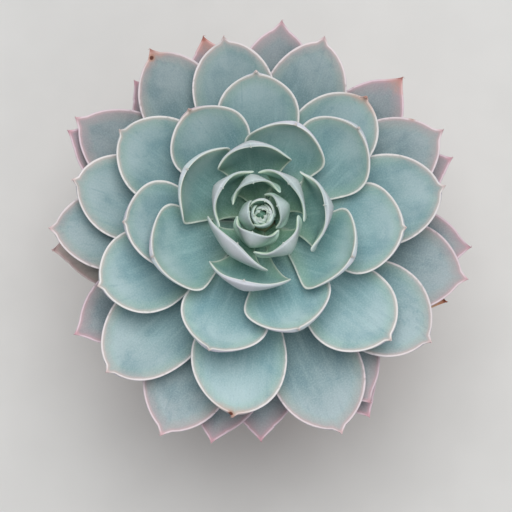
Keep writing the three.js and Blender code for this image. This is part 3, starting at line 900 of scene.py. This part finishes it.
# The stem
STEM_SIDES = 96
STEM_ROW = 0.8                  # distance between its rows of points
STEM_BARK = 0.35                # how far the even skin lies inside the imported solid
SCARS = 30
SCAR_TURN = math.radians(137.5)
SCAR_RISE = 1.15                # each scar above the one before it
SCARS_FROM = SOIL_TOP - 4


def make_stem():
    """The stem with the scars of shed leaves in a spiral up to the lowest leaf, and its foot in the soil."""
    foot = SOIL_TOP - STEM_IN_SOIL + FIT
    heights = np.arange(foot, STEM_TOP, STEM_ROW)
    points, scars = [], []
    marks = [(SCAR_TURN * k, SCARS_FROM + SCAR_RISE * k) for k in range(SCARS)]
    for z in heights:
        base = stem_radius(z - ROSETTE_SEAT) * (1 if z > foot + 2 else 0.9)
        for j in range(STEM_SIDES):
            angle = 2 * math.pi * j / STEM_SIDES
            scar, lip = scar_at(angle, z, base, marks)
            rough = 0.18 * noise.noise(Vector((6 * math.cos(angle), 6 * math.sin(angle), z / 1.6)))
            radius = base - STEM_BARK + rough + 0.3 * lip - 0.35 * scar
            points.append((radius * math.cos(angle), radius * math.sin(angle), z))
            scars.append(scar)
    points += [(0, 0, foot), (0, 0, STEM_TOP)]
    scars += [0, 0]
    points = np.array(points)
    faces = section_faces(len(heights), STEM_SIDES)
    piece = mesh_object("stem_fine", points, facing_out(points, faces), {"scar": scars})
    piece.data.materials.append(stem_finish())
    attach(piece, "root")
    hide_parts("stem")


def scar_at(angle, z, radius, marks):
    """How much of a leaf scar, a flat lens on the stem, and of the lip below it, lies at a point."""
    scar, lip = 0.0, 0.0
    for mark_angle, mark_z in marks:
        if mark_z > ROSETTE_SEAT:
            continue
        across = (angle - mark_angle + math.pi) % (2 * math.pi) - math.pi
        distance = math.hypot(across * radius / 2.6, (z - mark_z) / 1.3)
        scar = max(scar, float(smooth_step(distance, 1.0, 0.65)))
        below = math.hypot(across * radius / 3.0, (z - mark_z + 0.9) / 1.4)
        lip = max(lip, float(smooth_step(below, 1.1, 0.7)))
    return scar, lip * (1 - scar)


def stem_finish():
    """Corky grey-brown skin, with browner scars."""
    finish = Finish("stem_skin", Roughness=0.85, Specular_IOR_Level=0.25)
    place = finish.position()
    cork = finish.noise(finish.stretched(place, (1, 1, 2.4)), 240, 5.0, 0.4)
    colour = finish.mix(finish.ramp(cork, 0.35, 0.65), srgb(128, 116, 86), srgb(178, 168, 136))
    colour = finish.mix(finish.times(finish.attribute("scar"), 0.85), colour, srgb(98, 70, 50))
    finish.colour(colour)
    finish.bump(cork, 0.4, 0.7)
    return finish.material


# The bud
def bud_core():
    """The green core that the smallest leaves grow from: points, faces and a leaf's attributes."""
    foot = STEM_TOP + FIT
    rows = BUD_CORE[1:-1]
    angles = 2 * math.pi * np.arange(BUD_CORE_SIDES) / BUD_CORE_SIDES
    points = [(r * math.cos(a), r * math.sin(a), foot + z) for r, z in rows for a in angles]
    points += [(0, 0, foot), (0, 0, foot + BUD_CORE[-1][1])]
    count = len(points)
    same = {"edge": 9, "along": 0, "to_tip": 9, "upper": 1, "age": 0, "pale": 0, "burn": 0, "dry": 0}
    attributes = {key: np.full(count, float(value)) for key, value in same.items()}
    attributes["spot"] = np.zeros((count, 3))
    attributes["place"] = np.array(points)
    return np.array(points), section_faces(len(rows), BUD_CORE_SIDES), attributes


def make_bud():
    """The bud: its smallest leaves wrapped round each other on a small core, as one piece."""
    points, faces, attributes = [], [], {}
    leaves = [leaf_mesh(bud_measures(*row), 60 + n) for n, row in enumerate(BUD_LEAVES + INNERMOST_LEAVES)]
    start = 0
    for leaf_points, leaf_faces, leaf_attributes in leaves + [bud_core()]:
        leaf_faces = facing_out(leaf_points, leaf_faces)
        points.append(leaf_points)
        faces += [tuple(start + k for k in face) for face in leaf_faces]
        for key, values in leaf_attributes.items():
            attributes.setdefault(key, []).append(values)
        start += len(leaf_points)
    attributes = {key: np.concatenate(values) for key, values in attributes.items()}
    piece = mesh_object("bud_fine", np.concatenate(points), faces, attributes)
    piece.data.materials.append(leaf_skin("bud_skin"))
    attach(piece, "root")
    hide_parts("bud")


# Floor, lights and camera
ROSETTE_MIDDLE = Vector((0, 0, (ROSETTE_SEAT + 20) * MM))
CAMERA_DISTANCE = 0.62
CAMERA_ELEVATION = math.radians(81.5)
FOCAL_PIXELS = 1463
PHOTO_PIXELS = 512
SENSOR = 36
AIM_OFFSET = Vector((-1.9, -12.57, -1.88)) * MM    # the photograph's middle, seen from the rosette's

# Each light's name, place and size in metres, and power in watts
LIGHTS = [("key", (0.05, 0.38, 1.46), 1.2, 17), ("fill", (0.5, -0.8, 1.25), 1.2, 3)]
STUDIO_COLOUR = (0.92, 0.95, 1.0, 1)
STUDIO_STRENGTH = 0.32
FLOOR_HALF = 4


def aimed(thing, target):
    """Turns a lamp or a camera so that it looks at a point."""
    thing.rotation_euler = (target - thing.location).to_track_quat("-Z", "Y").to_euler()


def make_camera():
    """The photograph's camera: almost straight above the rosette, leaning to the front."""
    data = bpy.data.cameras.new("camera")
    data.sensor_width = SENSOR
    data.lens = FOCAL_PIXELS / PHOTO_PIXELS * SENSOR
    camera = bpy.data.objects.new("camera", data)
    bpy.context.scene.collection.objects.link(camera)
    lean = Vector((0, -math.cos(CAMERA_ELEVATION), math.sin(CAMERA_ELEVATION)))
    camera.location = ROSETTE_MIDDLE + CAMERA_DISTANCE * lean
    aimed(camera, ROSETTE_MIDDLE + AIM_OFFSET)
    bpy.context.scene.camera = camera


def make_light(name, place, size, power):
    """A round soft light that faces the rosette."""
    data = bpy.data.lights.new(name, "AREA")
    data.shape = "DISK"
    data.size = size
    data.energy = power
    light = bpy.data.objects.new(name, data)
    light.location = place
    bpy.context.scene.collection.objects.link(light)
    aimed(light, ROSETTE_MIDDLE)


def make_floor():
    """A pale painted floor."""
    mesh = bpy.data.meshes.new("floor")
    corners = [(x * FLOOR_HALF, y * FLOOR_HALF, 0) for x, y in ((-1, -1), (1, -1), (1, 1), (-1, 1))]
    mesh.from_pydata(corners, [], [(0, 1, 2, 3)])
    floor = bpy.data.objects.new("floor", mesh)
    bpy.context.scene.collection.objects.link(floor)
    finish = Finish("floor", Roughness=0.75, Specular_IOR_Level=0.2)
    paint = finish.noise(finish.position(), 30, 2.0)
    finish.colour(finish.mix(finish.ramp(paint, 0.3, 0.7), srgb(214, 213, 210), srgb(217, 216, 213)))
    mesh.materials.append(finish.material)


def make_stage():
    """Camera, floor, lights and the studio's even light from all round."""
    make_camera()
    make_floor()
    for light in LIGHTS:
        make_light(*light)
    world = bpy.data.worlds.new("studio")
    world.use_nodes = True
    world.node_tree.nodes["Background"].inputs["Color"].default_value = STUDIO_COLOUR
    world.node_tree.nodes["Background"].inputs["Strength"].default_value = STUDIO_STRENGTH
    bpy.context.scene.world = world
    bpy.context.scene.view_settings.view_transform = "Standard"


make_stage()
make_pot()
make_soil()
make_grit()
make_stem()
make_bud()
skins = {slot: leaf_skin(slot) for slot in ("leaf_heart", "leaf_middle", "leaf_outer")}
for n in range(len(LEAVES)):
    slot = "leaf_heart" if n < HEART_LEAVES else "leaf_middle" if n < OUTER_FROM else "leaf_outer"
    make_leaf(n, skins[slot])
